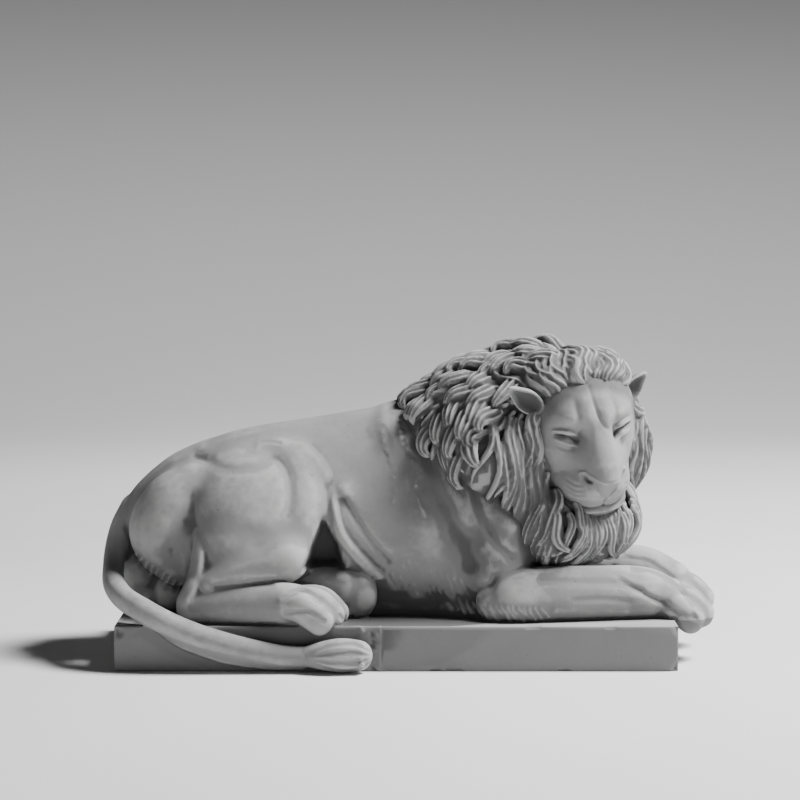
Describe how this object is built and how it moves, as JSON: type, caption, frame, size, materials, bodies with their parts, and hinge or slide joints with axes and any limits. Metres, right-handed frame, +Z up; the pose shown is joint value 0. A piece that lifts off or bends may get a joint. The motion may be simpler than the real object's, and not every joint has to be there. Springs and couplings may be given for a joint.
{
  "type": "plaster lion figurine",
  "caption": "Reclining lion with a full mane, head turned to one side and tail curled round the corner of its low rectangular plinth, cast in one piece in plaster.",
  "frame": {"origin": "centre of the plinth's underside, on the surface that it stands on", "axes": "+X along the plinth towards the lion's head and forepaws, +Y away from the side that the lion shows, +Z up"},
  "size_m": [0.3392, 0.1442, 0.1756],
  "materials": {
    "plaster": "matte"
  },
  "bodies": {
    "root": {"lion_on_plinth": "plaster"}
  },
  "joints": []
}
